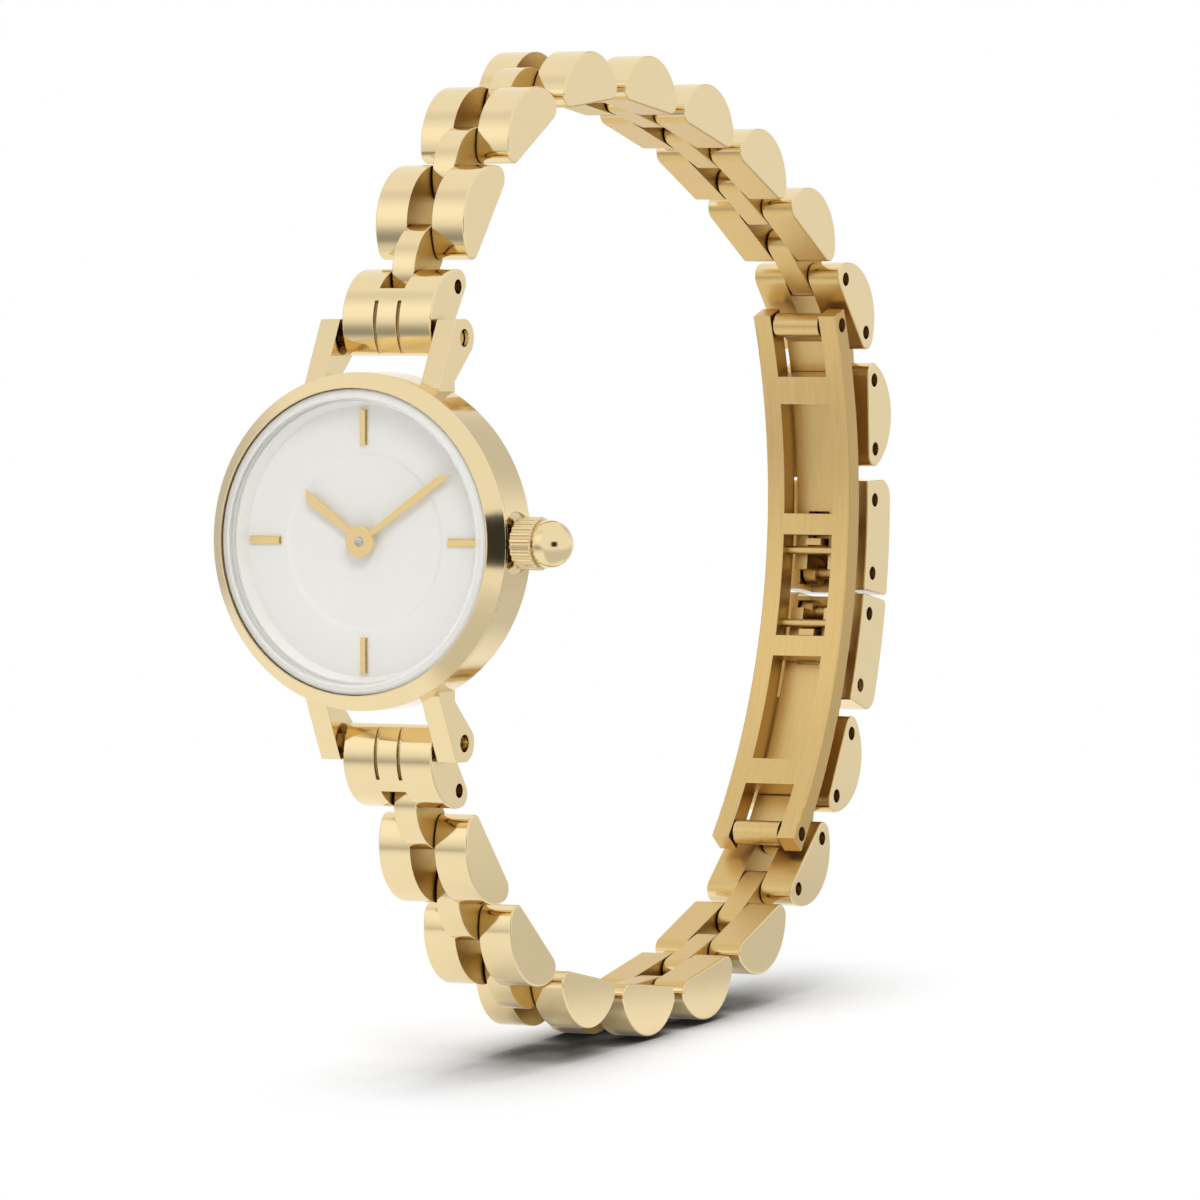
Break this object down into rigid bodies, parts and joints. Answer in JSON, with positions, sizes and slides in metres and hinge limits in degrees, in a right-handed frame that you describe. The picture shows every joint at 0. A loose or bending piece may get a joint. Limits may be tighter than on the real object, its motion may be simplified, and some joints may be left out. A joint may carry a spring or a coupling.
{
  "type": "bracelet watch",
  "caption": "Small round dress watch on a closed metal link bracelet with a folding butterfly clasp, a fluted crown and two hands.",
  "frame": {"origin": "centre of the flat case back", "axes": "+Y from the dial towards the wrist side of the loop, out of the case back; +X towards the crown; +Z towards twelve o'clock"},
  "size_m": [0.0235, 0.0638, 0.0607],
  "materials": {
    "polished_gold": "polished gold-plated steel",
    "brushed_gold": "brushed gold-plated steel",
    "crystal_glass": "clear",
    "dial_white": "satin",
    "gasket_rubber": "matt",
    "movement_plastic": "matt",
    "cell_steel": "satin"
  },
  "bodies": {
    "case": {"case_middle": "polished_gold", "case_back": "brushed_gold", "bezel": "polished_gold", "crystal": "crystal_glass", "crystal_gasket": "gasket_rubber", "dial": "dial_white", "indices": "polished_gold", "movement": "movement_plastic", "coin_cell": "cell_steel", "upper_spring_bar": "polished_gold"},
    "minute_hand": {"minute_hand": "polished_gold"},
    "hour_hand": {"hour_hand": "polished_gold"},
    "setting_slider": {"setting_slider": "cell_steel"},
    "crown": {"crown": "polished_gold", "stem": "cell_steel", "crown_gasket": "gasket_rubber"},
    "base_plate": {"base_plate": "brushed_gold"},
    "upper_blade": {"upper_blade": "brushed_gold"},
    "lower_blade": {"lower_blade": "brushed_gold"},
    "upper_plate": {"upper_plate": "polished_gold"},
    "lower_plate": {"lower_plate": "polished_gold"},
    "upper_end_link": {"upper_end_link": "polished_gold"},
    "upper_link_1": {"upper_link_1": "polished_gold"},
    "upper_row_1": {"upper_row_1": "polished_gold"},
    "upper_link_2": {"upper_link_2": "polished_gold"},
    "upper_row_2": {"upper_row_2": "polished_gold"},
    "upper_link_3": {"upper_link_3": "polished_gold"},
    "upper_row_3": {"upper_row_3": "polished_gold"},
    "upper_link_4": {"upper_link_4": "polished_gold"},
    "upper_row_4": {"upper_row_4": "polished_gold"},
    "upper_link_5": {"upper_link_5": "polished_gold"},
    "upper_row_5": {"upper_row_5": "polished_gold"},
    "upper_link_6": {"upper_link_6": "polished_gold"},
    "upper_row_6": {"upper_row_6": "polished_gold"},
    "upper_link_7": {"upper_link_7": "polished_gold"},
    "upper_row_7": {"upper_row_7": "polished_gold"},
    "upper_link_8": {"upper_link_8": "polished_gold"},
    "upper_row_8": {"upper_row_8": "polished_gold"},
    "upper_link_9": {"upper_link_9": "polished_gold"},
    "upper_row_9": {"upper_row_9": "polished_gold"},
    "upper_link_10": {"upper_link_10": "polished_gold"},
    "lower_link_9": {"lower_link_9": "polished_gold"},
    "lower_row_8": {"lower_row_8": "polished_gold"},
    "lower_link_8": {"lower_link_8": "polished_gold"},
    "lower_row_7": {"lower_row_7": "polished_gold"},
    "lower_link_7": {"lower_link_7": "polished_gold"},
    "lower_row_6": {"lower_row_6": "polished_gold"},
    "lower_link_6": {"lower_link_6": "polished_gold"},
    "lower_row_5": {"lower_row_5": "polished_gold"},
    "lower_link_5": {"lower_link_5": "polished_gold"},
    "lower_row_4": {"lower_row_4": "polished_gold"},
    "lower_link_4": {"lower_link_4": "polished_gold"},
    "lower_row_3": {"lower_row_3": "polished_gold"},
    "lower_link_3": {"lower_link_3": "polished_gold"},
    "lower_row_2": {"lower_row_2": "polished_gold"},
    "lower_link_2": {"lower_link_2": "polished_gold"},
    "lower_row_1": {"lower_row_1": "polished_gold"},
    "lower_link_1": {"lower_link_1": "polished_gold"},
    "lower_end_link": {"lower_end_link": "polished_gold", "lower_spring_bar": "polished_gold"}
  },
  "joints": [
    {"name": "upper_end_link_hinge", "type": "hinge", "parent": "case", "child": "upper_end_link", "pos_m": [0, -0.0001, 0.012], "axis": [1, 0, 0], "range_deg": [0, 20]},
    {"name": "upper_link_1_hinge", "type": "hinge", "parent": "upper_end_link", "child": "upper_link_1", "pos_m": [0, 0.0019, 0.01503], "axis": [1, 0, 0], "range_deg": [0, 2.03]},
    {"name": "upper_row_1_hinge", "type": "hinge", "parent": "upper_link_1", "child": "upper_row_1", "pos_m": [0, 0.00382, 0.01771], "axis": [1, 0, 0], "range_deg": [0, 2.03]},
    {"name": "upper_link_2_hinge", "type": "hinge", "parent": "upper_row_1", "child": "upper_link_2", "pos_m": [0, 0.00654, 0.02124], "axis": [1, 0, 0], "range_deg": [0, 10.75]},
    {"name": "upper_row_2_hinge", "type": "hinge", "parent": "upper_link_2", "child": "upper_row_2", "pos_m": [0, 0.009, 0.02343], "axis": [1, 0, 0], "range_deg": [0, 10.75]},
    {"name": "upper_link_3_hinge", "type": "hinge", "parent": "upper_row_2", "child": "upper_link_3", "pos_m": [0, 0.01282, 0.02572], "axis": [1, 0, 0], "range_deg": [0, 12.25]},
    {"name": "upper_row_3_hinge", "type": "hinge", "parent": "upper_link_3", "child": "upper_row_3", "pos_m": [0, 0.01595, 0.02678], "axis": [1, 0, 0], "range_deg": [0, 12.25]},
    {"name": "upper_link_4_hinge", "type": "hinge", "parent": "upper_row_3", "child": "upper_link_4", "pos_m": [0, 0.02037, 0.02727], "axis": [1, 0, 0], "range_deg": [0, 7.37]},
    {"name": "upper_row_4_hinge", "type": "hinge", "parent": "upper_link_4", "child": "upper_row_4", "pos_m": [0, 0.02367, 0.02722], "axis": [1, 0, 0], "range_deg": [0, 7.37]},
    {"name": "upper_link_5_hinge", "type": "hinge", "parent": "upper_row_4", "child": "upper_link_5", "pos_m": [0, 0.02807, 0.02658], "axis": [1, 0, 0], "range_deg": [0, 3.83]},
    {"name": "upper_row_5_hinge", "type": "hinge", "parent": "upper_link_5", "child": "upper_row_5", "pos_m": [0, 0.0313, 0.02588], "axis": [1, 0, 0], "range_deg": [0, 3.83]},
    {"name": "upper_link_6_hinge", "type": "hinge", "parent": "upper_row_5", "child": "upper_link_6", "pos_m": [0, 0.03557, 0.02466], "axis": [1, 0, 0], "range_deg": [0, 4.89]},
    {"name": "upper_row_6_hinge", "type": "hinge", "parent": "upper_link_6", "child": "upper_row_6", "pos_m": [0, 0.03866, 0.02348], "axis": [1, 0, 0], "range_deg": [0, 4.89]},
    {"name": "upper_link_7_hinge", "type": "hinge", "parent": "upper_row_6", "child": "upper_link_7", "pos_m": [0, 0.04267, 0.02155], "axis": [1, 0, 0], "range_deg": [0, 2.78]},
    {"name": "upper_row_7_hinge", "type": "hinge", "parent": "upper_link_7", "child": "upper_row_7", "pos_m": [0, 0.04556, 0.01997], "axis": [1, 0, 0], "range_deg": [0, 2.78]},
    {"name": "upper_link_8_hinge", "type": "hinge", "parent": "upper_row_7", "child": "upper_link_8", "pos_m": [0, 0.04937, 0.01766], "axis": [1, 0, 0], "range_deg": [0, 9.55]},
    {"name": "upper_row_8_hinge", "type": "hinge", "parent": "upper_link_8", "child": "upper_row_8", "pos_m": [0, 0.05186, 0.0155], "axis": [1, 0, 0], "range_deg": [0, 9.55]},
    {"name": "upper_link_9_hinge", "type": "hinge", "parent": "upper_row_8", "child": "upper_link_9", "pos_m": [0, 0.0547, 0.01207], "axis": [1, 0, 0], "range_deg": [0, 18.79]},
    {"name": "upper_row_9_hinge", "type": "hinge", "parent": "upper_link_9", "child": "upper_row_9", "pos_m": [0, 0.05587, 0.00899], "axis": [1, 0, 0], "range_deg": [0, 18.79]},
    {"name": "upper_link_10_hinge", "type": "hinge", "parent": "upper_row_9", "child": "upper_link_10", "pos_m": [0, 0.05603, 0.00454], "axis": [1, 0, 0], "range_deg": [0, 3]},
    {"name": "upper_plate_hinge", "type": "hinge", "parent": "upper_link_10", "child": "upper_plate", "pos_m": [0, 0.05597, 0.00124], "axis": [1, 0, 0], "range_deg": [0, 3]},
    {"name": "upper_blade_hinge", "type": "hinge", "parent": "upper_plate", "child": "upper_blade", "pos_m": [0, 0.05564, -0.00349], "axis": [1, 0, 0], "range_deg": [0, 90]},
    {"name": "base_plate_hinge", "type": "hinge", "parent": "upper_blade", "child": "base_plate", "pos_m": [0, 0.05143, 0.01255], "axis": [1, 0, 0], "range_deg": [-90, 0]},
    {"name": "lower_blade_hinge", "type": "hinge", "parent": "base_plate", "child": "lower_blade", "pos_m": [0, 0.04595, -0.01987], "axis": [-1, 0, 0], "range_deg": [0, 90]},
    {"name": "lower_plate_hinge", "type": "hinge", "parent": "lower_blade", "child": "lower_plate", "pos_m": [0, 0.0552, -0.0061], "axis": [-1, 0, 0], "range_deg": [-90, 0]},
    {"name": "lower_link_9_hinge", "type": "hinge", "parent": "lower_plate", "child": "lower_link_9", "pos_m": [0, 0.05395, -0.01067], "axis": [1, 0, 0], "range_deg": [0, 6.41]},
    {"name": "lower_row_8_hinge", "type": "hinge", "parent": "lower_link_9", "child": "lower_row_8", "pos_m": [0, 0.05274, -0.01374], "axis": [1, 0, 0], "range_deg": [0, 6.41]},
    {"name": "lower_link_8_hinge", "type": "hinge", "parent": "lower_row_8", "child": "lower_link_8", "pos_m": [0, 0.05065, -0.01767], "axis": [1, 0, 0], "range_deg": [0, 9.35]},
    {"name": "lower_row_7_hinge", "type": "hinge", "parent": "lower_link_8", "child": "lower_row_7", "pos_m": [0, 0.04864, -0.02029], "axis": [1, 0, 0], "range_deg": [0, 9.35]},
    {"name": "lower_link_7_hinge", "type": "hinge", "parent": "lower_row_7", "child": "lower_link_7", "pos_m": [0, 0.0454, -0.02334], "axis": [1, 0, 0], "range_deg": [0, 10.2]},
    {"name": "lower_row_6_hinge", "type": "hinge", "parent": "lower_link_7", "child": "lower_row_6", "pos_m": [0, 0.04264, -0.02514], "axis": [1, 0, 0], "range_deg": [0, 10.2]},
    {"name": "lower_link_6_hinge", "type": "hinge", "parent": "lower_row_6", "child": "lower_link_6", "pos_m": [0, 0.03854, -0.02687], "axis": [1, 0, 0], "range_deg": [0, 4.74]},
    {"name": "lower_row_5_hinge", "type": "hinge", "parent": "lower_link_6", "child": "lower_row_5", "pos_m": [0, 0.0354, -0.0279], "axis": [1, 0, 0], "range_deg": [0, 4.74]},
    {"name": "lower_link_5_hinge", "type": "hinge", "parent": "lower_row_5", "child": "lower_link_5", "pos_m": [0, 0.03107, -0.02893], "axis": [1, 0, 0], "range_deg": [0, 9.35]},
    {"name": "lower_row_4_hinge", "type": "hinge", "parent": "lower_link_5", "child": "lower_row_4", "pos_m": [0, 0.02778, -0.02916], "axis": [1, 0, 0], "range_deg": [0, 9.35]},
    {"name": "lower_link_4_hinge", "type": "hinge", "parent": "lower_row_4", "child": "lower_link_4", "pos_m": [0, 0.02335, -0.02875], "axis": [1, 0, 0], "range_deg": [0, 2.53]},
    {"name": "lower_row_3_hinge", "type": "hinge", "parent": "lower_link_4", "child": "lower_row_3", "pos_m": [0, 0.02008, -0.0283], "axis": [1, 0, 0], "range_deg": [0, 2.53]},
    {"name": "lower_link_3_hinge", "type": "hinge", "parent": "lower_row_3", "child": "lower_link_3", "pos_m": [0, 0.01571, -0.0275], "axis": [1, 0, 0], "range_deg": [0, 14.87]},
    {"name": "lower_row_2_hinge", "type": "hinge", "parent": "lower_link_3", "child": "lower_row_2", "pos_m": [0, 0.01272, -0.02609], "axis": [1, 0, 0], "range_deg": [0, 14.87]},
    {"name": "lower_link_2_hinge", "type": "hinge", "parent": "lower_row_2", "child": "lower_link_2", "pos_m": [0, 0.00932, -0.02323], "axis": [1, 0, 0], "range_deg": [0, 4.55]},
    {"name": "lower_row_1_hinge", "type": "hinge", "parent": "lower_link_2", "child": "lower_row_1", "pos_m": [0, 0.00697, -0.02091], "axis": [1, 0, 0], "range_deg": [0, 4.55]},
    {"name": "lower_link_1_hinge", "type": "hinge", "parent": "lower_row_1", "child": "lower_link_1", "pos_m": [0, 0.00406, -0.01754], "axis": [1, 0, 0], "range_deg": [0, 2.53]},
    {"name": "lower_end_link_hinge", "type": "hinge", "parent": "lower_link_1", "child": "lower_end_link", "pos_m": [0, 0.00202, -0.01495], "axis": [1, 0, 0], "range_deg": [0, 2.53]},
    {"name": "minute_hand_turn", "type": "hinge", "parent": "case", "child": "minute_hand", "pos_m": [0, -0.00432, 0], "axis": [0, 1, 0], "continuous": true},
    {"name": "hour_hand_turn", "type": "hinge", "parent": "case", "child": "hour_hand", "pos_m": [0, -0.0041, 0], "axis": [0, 1, 0], "continuous": true},
    {"name": "crown_pull", "type": "slide", "parent": "case", "child": "setting_slider", "axis": [1, 0, 0], "range_m": [0, 0.001]},
    {"name": "crown_turn", "type": "hinge", "parent": "setting_slider", "child": "crown", "pos_m": [0.0102, -0.0031, 0], "axis": [1, 0, 0], "continuous": true}
  ],
  "couplings": [
    {"joint": "upper_link_1_hinge", "follows": "upper_link_2_hinge", "ratio": 0.18882},
    {"joint": "upper_row_1_hinge", "follows": "upper_link_2_hinge", "ratio": 0.18882},
    {"joint": "upper_row_2_hinge", "follows": "upper_link_2_hinge", "ratio": 1},
    {"joint": "upper_row_3_hinge", "follows": "upper_link_3_hinge", "ratio": 1},
    {"joint": "upper_link_4_hinge", "follows": "upper_link_3_hinge", "ratio": 0.60122},
    {"joint": "upper_row_4_hinge", "follows": "upper_link_3_hinge", "ratio": 0.60122},
    {"joint": "upper_link_5_hinge", "follows": "upper_link_6_hinge", "ratio": 0.78461},
    {"joint": "upper_row_5_hinge", "follows": "upper_link_6_hinge", "ratio": 0.78461},
    {"joint": "upper_row_6_hinge", "follows": "upper_link_6_hinge", "ratio": 1},
    {"joint": "upper_link_7_hinge", "follows": "upper_link_8_hinge", "ratio": 0.29134},
    {"joint": "upper_row_7_hinge", "follows": "upper_link_8_hinge", "ratio": 0.29134},
    {"joint": "upper_row_8_hinge", "follows": "upper_link_8_hinge", "ratio": 1},
    {"joint": "upper_row_9_hinge", "follows": "upper_link_9_hinge", "ratio": 1},
    {"joint": "upper_link_10_hinge", "follows": "upper_link_9_hinge", "ratio": 0.15977},
    {"joint": "upper_plate_hinge", "follows": "upper_link_9_hinge", "ratio": 0.15977},
    {"joint": "base_plate_hinge", "follows": "upper_blade_hinge", "ratio": -1},
    {"joint": "lower_plate_hinge", "follows": "lower_blade_hinge", "ratio": -1},
    {"joint": "lower_link_9_hinge", "follows": "lower_link_8_hinge", "ratio": 0.68552},
    {"joint": "lower_row_8_hinge", "follows": "lower_link_8_hinge", "ratio": 0.68552},
    {"joint": "lower_row_7_hinge", "follows": "lower_link_8_hinge", "ratio": 1},
    {"joint": "lower_row_6_hinge", "follows": "lower_link_7_hinge", "ratio": 1},
    {"joint": "lower_link_6_hinge", "follows": "lower_link_7_hinge", "ratio": 0.46497},
    {"joint": "lower_row_5_hinge", "follows": "lower_link_7_hinge", "ratio": 0.46497},
    {"joint": "lower_row_4_hinge", "follows": "lower_link_5_hinge", "ratio": 1},
    {"joint": "lower_link_4_hinge", "follows": "lower_link_5_hinge", "ratio": 0.27083},
    {"joint": "lower_row_3_hinge", "follows": "lower_link_5_hinge", "ratio": 0.27083},
    {"joint": "lower_row_2_hinge", "follows": "lower_link_3_hinge", "ratio": 1},
    {"joint": "lower_link_2_hinge", "follows": "lower_link_3_hinge", "ratio": 0.30568},
    {"joint": "lower_row_1_hinge", "follows": "lower_link_3_hinge", "ratio": 0.30568},
    {"joint": "lower_end_link_hinge", "follows": "lower_link_1_hinge", "ratio": 1},
    {"joint": "hour_hand_turn", "follows": "minute_hand_turn", "ratio": 0.083333}
  ]
}
